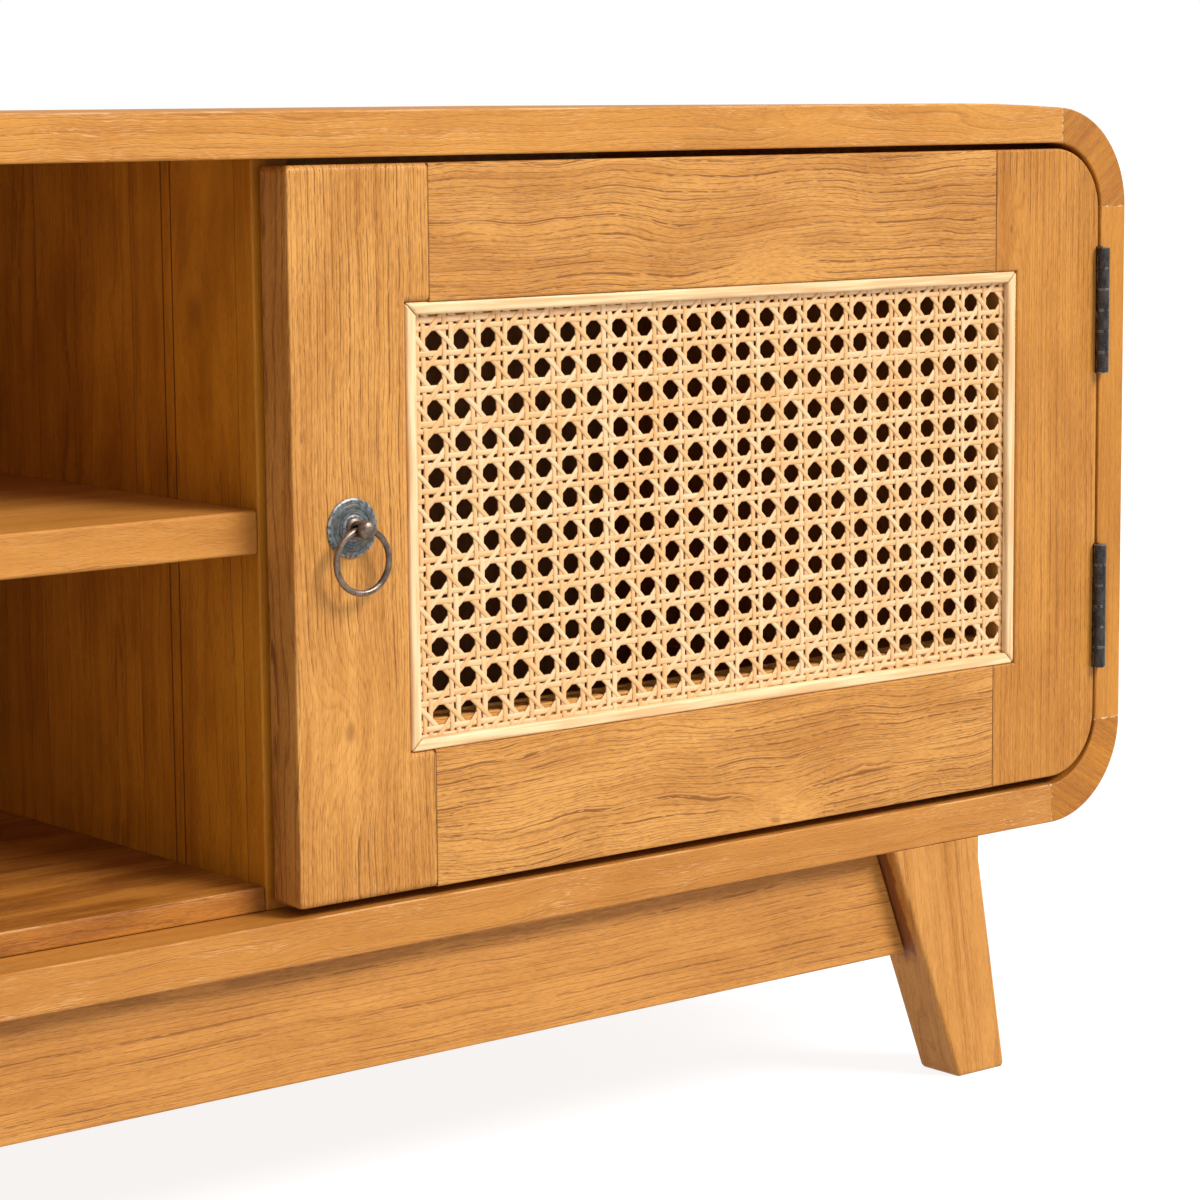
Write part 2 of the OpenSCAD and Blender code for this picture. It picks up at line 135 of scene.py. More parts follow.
def rise(tree, value, start, end, low=0, high=1):
    """Goes smoothly from low to high while value goes from start to end."""
    inputs = {"Value": value, "From Min": start, "From Max": end, "To Min": low, "To Max": high}
    return wire(tree, "ShaderNodeMapRange", inputs, interpolation_type="SMOOTHSTEP").outputs[0]


def cloud(tree, place, sizes, detail=2, output=0):
    """Noise whose blots have these sizes along the three axes."""
    inputs = {"Vector": reckon_vector(tree, "DIVIDE", place, sizes), "Scale": 1, "Detail": detail}
    return wire(tree, "ShaderNodeTexNoise", inputs).outputs[output]


def blend_colour(tree, amount, first, second):
    inputs = {0: amount, 6: first, 7: second}
    return wire(tree, "ShaderNodeMix", inputs, data_type="RGBA").outputs[2]


def finish(name):
    """A new material with its shader, and the piece's own place in millimetres."""
    material = bpy.data.materials.new(name)
    material.use_nodes = True
    tree = material.node_tree
    shader = tree.nodes["Principled BSDF"]
    place = wire(tree, "ShaderNodeTexCoord").outputs["Object"]
    return material, tree, shader, reckon_vector(tree, "MULTIPLY", place, (1000, 1000, 1000))


def relief(tree, shader, height, depth, strength=1):
    """Turns a height from 0 to 1 into a bump that is depth metres deep."""
    bump = wire(tree, "ShaderNodeBump", {"Height": height, "Strength": strength, "Distance": depth})
    tree.links.new(bump.outputs[0], shader.inputs["Normal"])


def grow_teak():
    """The figure of teak as a node group. Its place is in millimetres, with the grain along X and
    the heart of the trunk on the X axis."""
    tree = bpy.data.node_groups.new("teak_figure", "ShaderNodeTree")
    sockets = [("Place", "Vector"), ("Knot", "Vector"), ("Knot Size", "Float"), ("Rings", "Float"),
               ("Wave", "Float"), ("Pores", "Float"), ("Chalk", "Float"), ("Mottle", "Float"),
               ("Early", "Color"), ("Late", "Color")]
    for name, kind in sockets:
        tree.interface.new_socket(name=name, in_out="INPUT", socket_type="NodeSocket" + kind)
    for name, kind in [("Color", "Color"), ("Roughness", "Float"), ("Height", "Float")]:
        tree.interface.new_socket(name=name, in_out="OUTPUT", socket_type="NodeSocket" + kind)
    given = tree.nodes.new("NodeGroupInput").outputs
    place = given["Place"]

    # the trunk isn't straight: slow bends along the grain, and a quicker ripple on them
    middle = (0.5, 0.5, 0.5)
    bends = reckon_vector(tree, "SUBTRACT", cloud(tree, place, (85, 70, 70), 1, 1), middle)
    ripple = reckon_vector(tree, "SUBTRACT", cloud(tree, place, (26, 14, 14), 1, 1), middle)
    bends = reckon_vector(tree, "ADD", scaled(tree, bends, 5), ripple)
    bent = reckon_vector(tree, "ADD", place, scaled(tree, bends, given["Wave"]))
    radius = reckon_vector(tree, "LENGTH", reckon_vector(tree, "MULTIPLY", bent, (0, 1, 1)))

    # rings swell round a knot, which is longer along the grain and has a dark heart
    away = reckon_vector(tree, "SUBTRACT", bent, given["Knot"])
    away = reckon_vector(tree, "LENGTH", reckon_vector(tree, "MULTIPLY", away, (0.6, 1, 1)))
    away = reckon(tree, "DIVIDE", away, given["Knot Size"])
    swell = reckon(tree, "EXPONENT", reckon(tree, "MULTIPLY", reckon(tree, "POWER", away, 2), -1))
    swell = reckon(tree, "MULTIPLY", swell, reckon(tree, "MULTIPLY", given["Knot Size"], 1.6))
    heart = rise(tree, away, 0.06, 0.28, 1, 0)
    clear = rise(tree, away, 1.0, 2.2)

    # the rings are uneven; the phase goes from 0 to 1 through each, and through each finer line
    uneven = reckon(tree, "MULTIPLY", cloud(tree, bent, (900, 16, 16), 1), 3)
    ring = reckon(tree, "DIVIDE", reckon(tree, "ADD", radius, swell), given["Rings"])
    ring = reckon(tree, "ADD", ring, uneven)
    phase = reckon(tree, "FRACT", ring)
    between = reckon(tree, "FRACT", reckon(tree, "MULTIPLY_ADD", ring, 2.63, 0.3))

    # each ring starts with a line of open pores, cut into dashes, with fainter lines between
    line = reckon(tree, "MULTIPLY", rise(tree, phase, 0, 0.03), rise(tree, phase, 0.09, 0.17, 1, 0))
    faint = reckon(tree, "MULTIPLY", rise(tree, between, 0, 0.06), rise(tree, between, 0.12, 0.28, 1, 0))
    dashes = rise(tree, cloud(tree, bent, (32, 1.8, 1.8), 2), 0.38, 0.50)
    breaks = rise(tree, cloud(tree, bent, (9, 0.9, 0.9), 1), 0.32, 0.46)
    zone = rise(tree, cloud(tree, bent, (110, 16, 16), 1), 0.38, 0.60, 0.3, 1)
    line = reckon(tree, "MULTIPLY", line, dashes)
    line = reckon(tree, "MULTIPLY", line, reckon(tree, "MULTIPLY", zone, breaks))
    faint = reckon(tree, "MULTIPLY", reckon(tree, "MULTIPLY", faint, breaks), 0.45)
    coarse = reckon(tree, "MULTIPLY", reckon(tree, "MAXIMUM", line, faint), clear)
    fine = rise(tree, cloud(tree, bent, (6, 0.45, 0.45), 2), 0.53, 0.70)
    fibre = cloud(tree, bent, (4, 0.7, 0.7), 3)
    streak = cloud(tree, bent, (160, 5, 5), 3)
    patch = cloud(tree, bent, (70, 22, 22), 2)

    # the wood darkens towards the end of each ring, and from streak to streak and patch to patch
    tone = reckon(tree, "MULTIPLY_ADD", streak, 1.0, -0.65)
    tone = reckon(tree, "MULTIPLY_ADD", fibre, 1.1, tone)
    tone = reckon(tree, "MULTIPLY_ADD", reckon(tree, "POWER", phase, 3), 0.3, tone)
    mottle = reckon(tree, "MULTIPLY", reckon(tree, "SUBTRACT", patch, 0.5), given["Mottle"])
    tone = wire(tree, "ShaderNodeClamp", {0: reckon(tree, "ADD", tone, mottle)}).outputs[0]
    colour = blend_colour(tree, tone, given["Early"], given["Late"])

    # open pores are brown; some stretches of them hold pale dust from sanding
    pores = reckon(tree, "MULTIPLY", reckon(tree, "MULTIPLY_ADD", fine, 0.36, coarse), given["Pores"])
    pores = reckon(tree, "MAXIMUM", pores, reckon(tree, "MULTIPLY", heart, 0.5))
    pores = wire(tree, "ShaderNodeClamp", {0: pores, "Max": 0.8}).outputs[0]
    colour = blend_colour(tree, pores, colour, pore_brown)
    chalk = rise(tree, cloud(tree, bent, (11, 0.34, 0.34), 1), 0.56, 0.68)
    chalk = reckon(tree, "MULTIPLY", chalk, rise(tree, cloud(tree, bent, (60, 7, 7), 1), 0.48, 0.66))
    colour = blend_colour(tree, reckon(tree, "MULTIPLY", chalk, given["Chalk"]), colour, pore_chalk)

    height = reckon(tree, "MULTIPLY_ADD", coarse, -0.75, 1)
    height = reckon(tree, "MULTIPLY_ADD", fine, -0.35, height)
    height = reckon(tree, "MULTIPLY_ADD", fibre, 0.25, height)
    rough = reckon(tree, "MULTIPLY_ADD", streak, 0.20, 0.38)
    rough = reckon(tree, "MULTIPLY_ADD", pores, 0.25, rough)
    wire(tree, "NodeGroupOutput", {"Color": colour, "Roughness": rough, "Height": height})
    return tree


teak_figure = grow_teak()


def line_at(tree, place, axis, seam, inner, outer, strength=1):
    """A line across one axis, given in metres: full within inner mm of it, and gone past outer mm."""
    distance = reckon(tree, "SUBTRACT", part_of(tree, place, axis), seam / MM)
    return rise(tree, reckon(tree, "ABSOLUTE", distance), inner, outer, strength, 0)


def painted_arris_highlight(tree, place, low, high):
    """Painted highlight: a pale line along the top front arris, where the light catches it, in broken
    stretches.
    """
    away = reckon_vector(tree, "SUBTRACT", place, (0, low.y / MM, high.z / MM))
    away = reckon_vector(tree, "ABSOLUTE", reckon_vector(tree, "MULTIPLY", away, (0, 1, 1)))
    distance = reckon_vector(tree, "DOT_PRODUCT", away, (1, 1, 1))
    stretches = rise(tree, cloud(tree, place, (30, 1.5, 1.5), 2), 0.44, 0.60)
    return reckon(tree, "MULTIPLY", rise(tree, distance, 0.5, 1.0, 1, 0), stretches)


def apron_corner_dark(tree, place):
    """Where a leg is darker brown: in the corner against the apron, reaching a few mm past its face and
    lower edge, with a ragged border.
    """
    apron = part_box("apron_front")[0] / MM
    run = reckon_vector(tree, "MULTIPLY", cloud(tree, place, (7, 7, 7), 2, 1), (0, 7, 12))
    run = reckon_vector(tree, "ADD", place, run)
    beside = rise(tree, part_of(tree, run, "Y"), apron.y - 4, apron.y - 1.5)
    return reckon(tree, "MULTIPLY", beside, rise(tree, part_of(tree, run, "Z"), apron.z - 1, apron.z + 7))


def teak(node, grain=GRAIN_X, heart=(60, -150), rings=6, wave=0.6, pores=0.8, chalk=0,
         early=honey, late=amber, knot=nowhere, knot_size=20, lean=0, glue=(), gaps=(),
         planks=None, mottle=1.5, darkened=False, arris=False):
    """Teak for one board. Heart is how far the trunk's middle lies behind and above the board, and
    rings how wide they are, in mm. Glue is the (axis, place) of each joint where dried glue shows
    as a pale broken line; gaps are those that show dark. Planks is the axis across a wide board and
    the width in mm of the planks it is glued up from, each with its own figure and tone."""
    turn = Euler(grain)
    turn.rotate(Euler((0, lean, 0)))
    low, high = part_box(node)
    centre = turn.to_matrix() @ ((low + high) / 2 / MM)
    shift = random.Random(node).uniform(-900, 900)
    move = Vector((shift, heart[0], heart[1])) - centre
    material, tree, shader, place = finish("teak_" + node)
    offset = (0, 0, 0)
    if planks:
        axis, width = planks
        count = reckon(tree, "ADD", reckon(tree, "DIVIDE", part_of(tree, place, axis), width), shift)
        plank = reckon(tree, "FLOOR", count)
        luck = wire(tree, "ShaderNodeTexWhiteNoise", {"W": plank}, noise_dimensions="1D")
        offset = reckon_vector(tree, "SUBTRACT", luck.outputs["Color"], (0.5, 0.5, 0.5))
        offset = reckon_vector(tree, "MULTIPLY", offset, (260, 120, 260))
    mapped = []
    for spot in (place, Vector(knot) / MM):
        spot = reckon_vector(tree, "ADD", spot, offset)
        inputs = {"Vector": spot, "Location": move, "Rotation": turn}
        mapped.append(wire(tree, "ShaderNodeMapping", inputs).outputs[0])
    figure = tree.nodes.new("ShaderNodeGroup")
    figure.node_tree = teak_figure
    inputs = {"Place": mapped[0], "Knot": mapped[1], "Knot Size": knot_size, "Rings": rings,
              "Wave": wave, "Pores": pores, "Chalk": chalk, "Mottle": mottle, "Early": early,
              "Late": late}
    feed(tree, figure, inputs)
    colour = figure.outputs["Color"]
    if planks:
        darker = rise(tree, luck.outputs["Value"], 0, 1, 0.45, 0)
        colour = blend_colour(tree, darker, colour, late)
        across = reckon(tree, "FRACT", count)
        edge = reckon(tree, "MINIMUM", across, reckon(tree, "SUBTRACT", 1, across))
        edge = rise(tree, edge, 0.1 / width, 0.5 / width, 0.6, 0)
        colour = blend_colour(tree, edge, colour, seam_dark)
    crumbs = rise(tree, cloud(tree, place, (1.6, 1.6, 1.6), 2), 0.46, 0.56, 0, 0.55)
    for axis, seam in glue:
        line = reckon(tree, "MULTIPLY", line_at(tree, place, axis, seam, 0.25, 0.6), crumbs)
        colour = blend_colour(tree, line, colour, glue_pale)
    for axis, seam in gaps:
        colour = blend_colour(tree, line_at(tree, place, axis, seam, 0.3, 0.7, 0.85), colour, joint_dark)
    # painted highlight: a pale broken line along the top front arris, where the light catches it
    if arris:
        wear_and_highlight = reckon(tree, "MULTIPLY", painted_arris_highlight(tree, place, low, high), 0.5)
        colour = blend_colour(tree, wear_and_highlight, colour, highlight_pale)
    # darker brown in the corner where a front leg meets the apron
    if darkened:
        run = reckon(tree, "MULTIPLY", apron_corner_dark(tree, place), 0.85)
        colour = blend_colour(tree, run, colour, corner_brown)
    shader.inputs["Specular IOR Level"].default_value = 0.3
    feed(tree, shader, {"Base Color": colour, "Roughness": figure.outputs["Roughness"]})
    relief(tree, shader, figure.outputs["Height"], 0.35 * MM, 0.7)
    return material


def choose(node):
    """Selects one object alone and makes it the active one."""
    bpy.ops.object.select_all(action="DESELECT")
    node.select_set(True)
    bpy.context.view_layer.objects.active = node


def clad(piece, *materials):
    piece.data.materials.clear()
    for material in materials:
        piece.data.materials.append(material)


touching = 0.01 * MM
sharp_turn = math.radians(48)
shortest_arris = 1.2 * MM


def on_plane(edge, axis, value):
    return all(abs(v.co[axis] - value) < touching for v in edge.verts)


def worked(node, body, soft=1 * MM, segments=3, tight=(), spare=(), tight_width=0.2 * MM, smooth=12):
    """A board with its outer arrises eased: soft ones all round, hardly any on the tight planes,
    which are glued joints, and none inside the spare boxes."""
    source = frame["nodes"][node]
    piece = source.copy()
    piece.data = source.data.copy()
    piece.name = "worked_" + node
    piece.parent = None
    del piece["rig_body"]
    del piece["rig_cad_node"]
    bpy.context.scene.collection.objects.link(piece)
    choose(piece)
    bpy.ops.object.mode_set(mode="EDIT")
    bpy.ops.mesh.select_all(action="SELECT")
    bpy.ops.mesh.remove_doubles(threshold=touching)
    bpy.ops.mesh.dissolve_limited(angle_limit=math.radians(0.5))
    low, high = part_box(node)
    outer = [(axis, corner[axis]) for corner in (low, high) for axis in range(3)]
    for is_tight, width, rounds in ((False, soft, segments), (True, tight_width, 1)):
        bpy.ops.mesh.select_all(action="DESELECT")
        bpy.ops.mesh.select_mode(type="EDGE")
        mesh = bmesh.from_edit_mesh(piece.data)
        for edge in mesh.edges:
            middle = (edge.verts[0].co + edge.verts[1].co) / 2
            sharp = len(edge.link_faces) == 2 and edge.calc_face_angle() > sharp_turn
            long = edge.calc_length() > shortest_arris
            seen = any(on_plane(edge, *plane) for plane in outer) and long
            spared = any(all(a[i] < middle[i] < b[i] for i in range(3)) for a, b in spare)
            joint = any(on_plane(edge, *plane) for plane in tight)
            edge.select_set(sharp and seen and not spared and joint == is_tight)
        bmesh.update_edit_mesh(piece.data)
        if any(edge.select for edge in mesh.edges) and width > 0:
            bpy.ops.mesh.bevel(offset=width, segments=rounds, profile=0.5, affect="EDGES")
    bpy.ops.object.mode_set(mode="OBJECT")
    bpy.ops.object.shade_smooth_by_angle(angle=math.radians(smooth))
    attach(piece, body)
    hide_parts(node)
    return piece


def side_sign(side):
    return -1 if side == "left" else 1


board_early = (0.62, 0.273, 0.048, 1)
board_late = (0.44, 0.165, 0.021, 1)
block_early = (0.49, 0.185, 0.015, 1)
block_late = (0.32, 0.105, 0.008, 1)
side_early = (0.56, 0.230, 0.030, 1)
side_late = (0.42, 0.155, 0.016, 1)
top_knot = Vector((0.530, front, top + 0.004))
joints_x = [(0, -joint_x), (0, joint_x)]
clad(worked("top_board", "carcass", tight=joints_x),
     teak("top_board", heart=(35, -260), rings=7, wave=2.2, pores=0.3, chalk=0.4,
          early=board_early, late=board_late, knot=top_knot, knot_size=14, glue=joints_x,
          planks=("Y", 98), arris=True))
bottom_low, bottom_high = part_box("bottom_board")
bottom_x, bottom_z = bottom_high.x, bottom_low.z
clad(worked("bottom_board", "carcass", tight=[(0, -bottom_x), (0, bottom_x)]),
     teak("bottom_board", heart=(35, 240), rings=7, wave=1.8, pores=0.3, chalk=0.55,
          early=(0.57, 0.245, 0.044, 1), late=(0.40, 0.145, 0.018, 1), planks=("Y", 104),
          arris=True))
# the housings for the hinges keep their sharp edges
zone_margin = Vector((0.005, 0.020, 0.001))
hinge_zones = []
for side in ("left", "right"):
    for level in ("upper", "lower"):
        low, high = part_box(f"frame_leaf_{level}_{side}")
        hinge_zones.append((low - zone_margin, high + zone_margin))
for side in ("left", "right"):
    sign = side_sign(side)
    low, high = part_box("side_" + side)
    seams = [(2, low.z), (2, high.z)]
    clad(worked("side_" + side, "carcass", tight=seams, spare=hinge_zones),
         teak("side_" + side, GRAIN_Z, heart=(70, 130 * sign), rings=6, wave=0.5, pores=0.3,
              chalk=0.1, early=side_early, late=side_late, glue=seams, planks=("Y", 90)))
    seams_top = [(0, joint_x * sign), (2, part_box("corner_top_" + side)[0].z)]
    seams_bottom = [(0, bottom_x * sign), (2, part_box("corner_bottom_" + side)[1].z)]
    for level, seams, slope, heart in (("top", seams_top, 38, (90, 170)),
                                       ("bottom", seams_bottom, -30, (80, -180))):
        node = f"corner_{level}_{side}"
        clad(worked(node, "carcass", tight=seams),
             teak(node, GRAIN_X, lean=math.radians(slope * sign), heart=heart, rings=5, wave=0.5,
                  pores=0.2, chalk=0.15, early=block_early, late=block_late, glue=seams))

# ---- Middle bay ----
# Two upright teak boards part the bay from the cupboards. It has a fixed shelf halfway up and a
# thinner loose board laid over the bottom one.
bay_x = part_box("divider_right")[0].x
# a narrow strip of each divider has a dark line on either side
strip_edges = [(1, -0.0970), (1, -0.1045)]
for side in ("left", "right"):
    divider_knot = Vector((bay_x * side_sign(side), -0.123, 0.403))
    clad(worked("divider_" + side, "carcass"),
         teak("divider_" + side, GRAIN_Z, heart=(-140, 60), rings=15, wave=2.5, pores=0.45, mottle=3,
              planks=("Y", 84), gaps=strip_edges, knot=divider_knot, knot_size=26,
              early=(0.68, 0.270, 0.016, 1), late=(0.45, 0.155, 0.006, 1)))
clad(worked("shelf", "carcass", soft=1.4 * MM),
     teak("shelf", heart=(-170, 90), rings=9, wave=1.4, pores=0.45, chalk=0.25, planks=("Y", 112),
          early=(0.66, 0.300, 0.062, 1), late=board_late))
clad(worked("bay_floor", "carcass", soft=1.2 * MM),
     teak("bay_floor", heart=(-120, 110), rings=9, wave=1.6, pores=0.8, chalk=0.2, mottle=4,
          planks=("Y", 95), gaps=[(2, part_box("bay_floor")[0].z)], arris=True,
          early=(0.56, 0.220, 0.030, 1), late=(0.26, 0.080, 0.008, 1)))

# ---- Back ----
# A thin plywood sheet let into a rebate and held by flat-headed wire nails, with two round
# holes for leads.
material, tree, shader, place = finish("plywood")
streaks = cloud(tree, place, (7, 7, 190), 4)
weave = cloud(tree, place, (0.5, 0.5, 14), 2)
colour = blend_colour(tree, rise(tree, streaks, 0.3, 0.7), (0.54, 0.29, 0.105, 1), (0.44, 0.215, 0.066, 1))
colour = blend_colour(tree, rise(tree, weave, 0.55, 0.7, 0, 0.5), colour, (0.16, 0.08, 0.03, 1))
feed(tree, shader, {"Base Color": colour, "Roughness": rise(tree, streaks, 0, 1, 0.55, 0.75)})
relief(tree, shader, weave, 0.2 * MM, 0.6)
clad(frame["nodes"]["back_panel"], material)
zinc_plate, tree, shader, place = finish("zinc_plate")
spangle = cloud(tree, place, (1.2, 1.2, 1.2), 3)
colour = blend_colour(tree, spangle, (0.42, 0.43, 0.44, 1), (0.70, 0.71, 0.72, 1))
feed(tree, shader, {"Base Color": colour, "Roughness": rise(tree, spangle, 0.3, 0.7, 0.3, 0.5),
                    "Metallic": 1})
relief(tree, shader, spangle, 0.05 * MM, 0.5)
clad(frame["nodes"]["back_nails"], zinc_plate)

# ---- Base ----
# Four splayed, tapered legs with rails tenoned between them, screwed up under the bottom board
# from inside. The wood is straight-grained, and the front legs are darker brown in the corner
# against the apron.
for row in ("front", "back"):
    for side in ("left", "right"):
        sign = side_sign(side)
        node = f"leg_{row}_{side}"
        clad(worked(node, "carcass", soft=2 * MM, segments=4, tight=[(2, bottom_z)]),
             teak(node, GRAIN_Z, lean=math.radians(8 * sign), heart=(150, 150 * sign), rings=7, wave=0.6,
                  pores=0.4, early=(0.59, 0.260, 0.056, 1), late=(0.42, 0.160, 0.022, 1),
                  darkened=row == "front"))
    node = "apron_" + row
    clad(worked(node, "carcass", soft=1 * MM, tight=[(2, bottom_z)]),
         teak(node, heart=(40, -330), rings=8, wave=0.9, pores=0.65,
              early=(0.58, 0.250, 0.050, 1), late=(0.40, 0.150, 0.022, 1)))
for side in ("left", "right"):
    node = "stretcher_" + side
    clad(worked(node, "carcass", soft=1 * MM),
         teak(node, GRAIN_Y, heart=(60, -200), rings=8, wave=0.6, pores=0.5))
clad(frame["nodes"]["base_screws"], zinc_plate)

# ---- Door frames ----
# Flat teak stiles with rails tenoned between them. The figure stands out more here: wavy rows
# of open pores run along the rails, and close upright ones up the stiles.
rail_early = (0.64, 0.299, 0.068, 1)
rail_late = (0.42, 0.160, 0.023, 1)
stile_early = (0.57, 0.240, 0.040, 1)
stile_late = (0.38, 0.135, 0.014, 1)
rail_figures = {"top": (-190, 0.4106), "bottom": (200, 0.1515)}
for side in ("left", "right"):
    sign = side_sign(side)
    body = "door_" + side
    hinge_knot, lock_knot = (0.667 * sign, front, 0.428), (0.261 * sign, front, 0.222)
    inner = 0 if side == "right" else 1
    hinge_joint = (0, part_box("hinge_stile_" + side)[inner].x)
    lock_joint = (0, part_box("lock_stile_" + side)[1 - inner].x)
    node = "hinge_stile_" + side
    clad(worked(node, body, soft=1.2 * MM, tight=[hinge_joint], spare=hinge_zones),
         teak(node, GRAIN_Z, heart=(40, -130 * sign), rings=4.6, wave=0.6, pores=0.65,
              knot=hinge_knot, knot_size=7, gaps=[hinge_joint], early=stile_early, late=stile_late))
    node = "lock_stile_" + side
    clad(worked(node, body, soft=3 * MM, segments=5, tight=[lock_joint]),
         teak(node, GRAIN_Z, heart=(50, 120 * sign), rings=4.6, wave=1.1, pores=0.95,
              knot=lock_knot, knot_size=15, gaps=[lock_joint], early=rail_early, late=rail_late))
    for level, (heart_above, knot_z) in rail_figures.items():
        node = f"rail_{level}_{side}"
        clad(worked(node, body, soft=1 * MM, tight=[hinge_joint, lock_joint]),
             teak(node, heart=(70, heart_above), rings=5, wave=2.8, pores=1, early=rail_early,
                  late=rail_late, knot=(0.508 * sign, front, knot_z), knot_size=10))

# ---- Cane ----
# Woven from split rattan: upright and level strands in pairs, woven over and under each other,
# and slanting ones both ways, which leave eight-sided holes. The panel lies a shade out of square.
pitch = 15.05 * MM
strand_w = 2.85 * MM
slant_w = 2.45 * MM
strand_t = 0.46 * MM
skin_bevel = 0.26 * strand_t + 0.25 * MM
pair_half = 1.80 * MM
weave_lift = 0.27 * MM
slant_lift = 0.50 * MM
cane_tilt = math.radians(0.5)
first_hole = Vector((17.2 * MM, 0, -17.7 * MM))
columns, rows = 27, 15
dice = random.Random(7)


def strand(name, width, rings, repeats):
    """One strand along X, from (place, lift) rings of a single repeat that is copied end to end."""
    length = rings[-1][0]
    bpy.ops.object.select_all(action="DESELECT")
    bpy.ops.mesh.primitive_cube_add(size=1)
    piece = bpy.context.object
    piece.name = name
    bpy.ops.object.mode_set(mode="EDIT")
    bpy.ops.transform.resize(value=(length, strand_t, width))
    bpy.ops.transform.translate(value=(length / 2, 0, 0))
    bpy.ops.mesh.select_mode(type="EDGE")
    for cut in (False, True):
        bpy.ops.mesh.select_all(action="DESELECT")
        mesh = bmesh.from_edit_mesh(piece.data)
        for edge in mesh.edges:
            along = abs(edge.verts[0].co.x - edge.verts[1].co.x) > 0.9 * length
            outside = all(v.co.y < 0 for v in edge.verts)
            edge.select_set(along and (cut or outside))
        bmesh.update_edit_mesh(piece.data)
        if cut:
            bpy.ops.mesh.subdivide(number_cuts=len(rings) - 2)
        else:
            bpy.ops.mesh.bevel(offset=skin_bevel, segments=1, affect="EDGES")
    mesh = bmesh.from_edit_mesh(piece.data)
    for vertex in mesh.verts:
        ring = rings[round(vertex.co.x / length * (len(rings) - 1))]
        vertex.co.x = ring[0]
        vertex.co.y -= ring[1]
    ends = [f for f in mesh.faces if abs(f.normal.x) > 0.9]
    bmesh.ops.delete(mesh, geom=ends, context="FACES_ONLY")
    bmesh.update_edit_mesh(piece.data)
    bpy.ops.object.mode_set(mode="OBJECT")
    array = piece.modifiers.new("lengthen", "ARRAY")
    array.count = repeats
    array.use_relative_offset = False
    array.use_constant_offset = True
    array.constant_offset_displace = (length, 0, 0)
    array.use_merge_vertices = True
    array.merge_threshold = 1e-5
    bpy.ops.object.modifier_apply(modifier=array.name)
    return piece


def row_of(piece, count, step):
    """Copies a strand side by side, and gives each its own tone, width and slight wander."""
    choose(piece)
    array = piece.modifiers.new("spread", "ARRAY")
    array.count = count
    array.use_relative_offset = False
    array.use_constant_offset = True
    array.constant_offset_displace = (0, 0, step)
    bpy.ops.object.modifier_apply(modifier=array.name)
    mesh = piece.data
    each = len(mesh.vertices) // count
    places = np.zeros(len(mesh.vertices) * 3)
    mesh.vertices.foreach_get("co", places)
    places = places.reshape(-1, 3)
    marks = np.zeros_like(places)
    for i in range(count):
        part = slice(i * each, (i + 1) * each)
        along = places[part, 0].copy()
        across = places[part, 2] - i * step
        middle = (across.min() + across.max()) / 2
        first, second = dice.uniform(0, 6.3), dice.uniform(0, 6.3)
        wander = 0.16 * MM * np.sin(along / (31 * MM) + first)
        wander += 0.10 * MM * np.sin(along / (9 * MM) + second)
        shift = dice.gauss(0, 0.13 * MM)
        width = dice.uniform(0.88, 1.08)
        places[part, 2] = i * step + middle + (across - middle) * width + wander + shift
        marks[part, 0] = along / MM + 700 * i
        marks[part, 1] = across / MM
        marks[part, 2] = dice.random()
    mesh.vertices.foreach_set("co", places.ravel())
    attribute = mesh.attributes.new("strand", "FLOAT_VECTOR", "POINT")
    attribute.data.foreach_set("vector", marks.ravel())
    return piece


def crossing(lift):
    """A paired strand between two hole lines: it meets the other pair's two strands at the crossing."""
    middle = pitch / 2
    return [(0, 0), (middle - pair_half, lift), (middle, 0), (middle + pair_half, -lift), (pitch, 0)]


def slanting(lift):
    period = pitch * math.sqrt(2)
    return [(0, lift), (period / 4, 0), (period / 2, -lift), (period * 3 / 4, 0), (period, lift)]


def laid(piece, angle, column, level):
    """Turns a family of strands about Y and starts it at a place on the grid of holes, in pitches."""
    place = Matrix.Translation((column * pitch, 0, level * pitch))
    piece.data.transform(place @ Matrix.Rotation(math.radians(angle), 4, "Y"))
    return piece


def cane_material():
    """Split rattan: a smooth pale skin with fine fibres along each strand, with painted shade
    darkening each strand towards its edges, and some strands paler than others."""
    material, tree, shader, place = finish("rattan_strands")
    mark = wire(tree, "ShaderNodeAttribute", attribute_name="strand").outputs["Vector"]
    tone, edge = part_of(tree, mark, "Z"), reckon(tree, "ABSOLUTE", part_of(tree, mark, "Y"))
    fibre = cloud(tree, mark, (22, 0.22, 500), 2)
    darkened = cloud(tree, mark, (30, 6, 3), 2)
    colour = blend_colour(tree, rise(tree, tone, 0.1, 0.95), (0.72, 0.41, 0.170, 1), (0.81, 0.53, 0.285, 1))
    colour = blend_colour(tree, rise(tree, darkened, 0.52, 0.75, 0, 0.55), colour, (0.60, 0.30, 0.085, 1))
    colour = blend_colour(tree, rise(tree, fibre, 0.55, 0.75, 0, 0.35), colour, (0.52, 0.26, 0.08, 1))
    # painted shade: each strand darkens towards its edges, where the grooves between strands lie
    colour = blend_colour(tree, rise(tree, edge, 0.95, 1.35, 0, 0.6), colour, (0.48, 0.23, 0.07, 1))
    feed(tree, shader, {"Base Color": colour, "Roughness": rise(tree, fibre, 0.3, 0.7, 0.34, 0.52)})
    relief(tree, shader, fibre, 0.06 * MM, 0.6)
    return material


